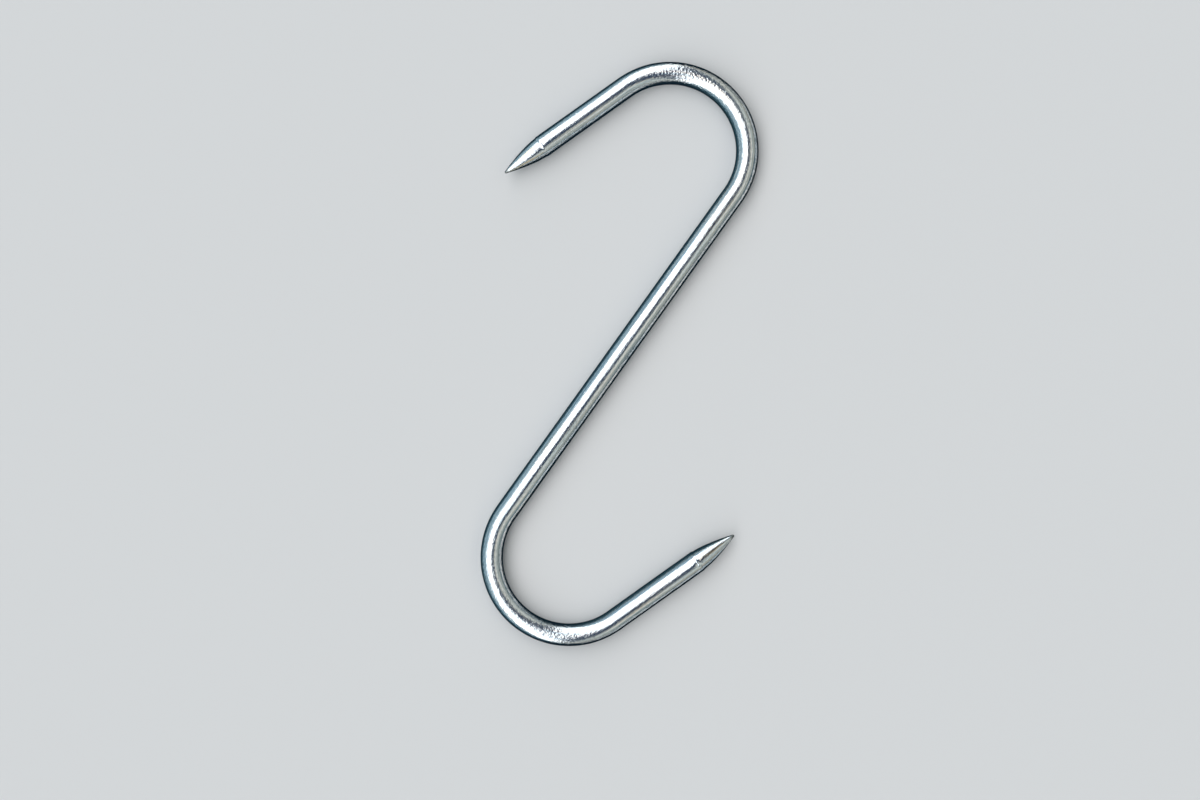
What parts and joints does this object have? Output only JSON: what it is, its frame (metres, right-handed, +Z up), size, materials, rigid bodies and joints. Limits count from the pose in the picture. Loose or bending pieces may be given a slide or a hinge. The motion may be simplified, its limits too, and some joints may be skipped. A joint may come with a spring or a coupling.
{
  "type": "s hook",
  "caption": "S-shaped hook bent from one round steel rod, with both ends ground to a sharp point, for hanging a load from a rail.",
  "frame": {"origin": "on the resting plane, under the middle of the shank", "axes": "+Y along the shank towards the upper bend, +Z up, out of the plane that the S lies in"},
  "size_m": [0.1056, 0.15, 0.006],
  "materials": {
    "zinc_plate": "bright blue-white zinc plating on drawn steel rod"
  },
  "bodies": {
    "root": {"hook": "zinc_plate"}
  },
  "joints": []
}
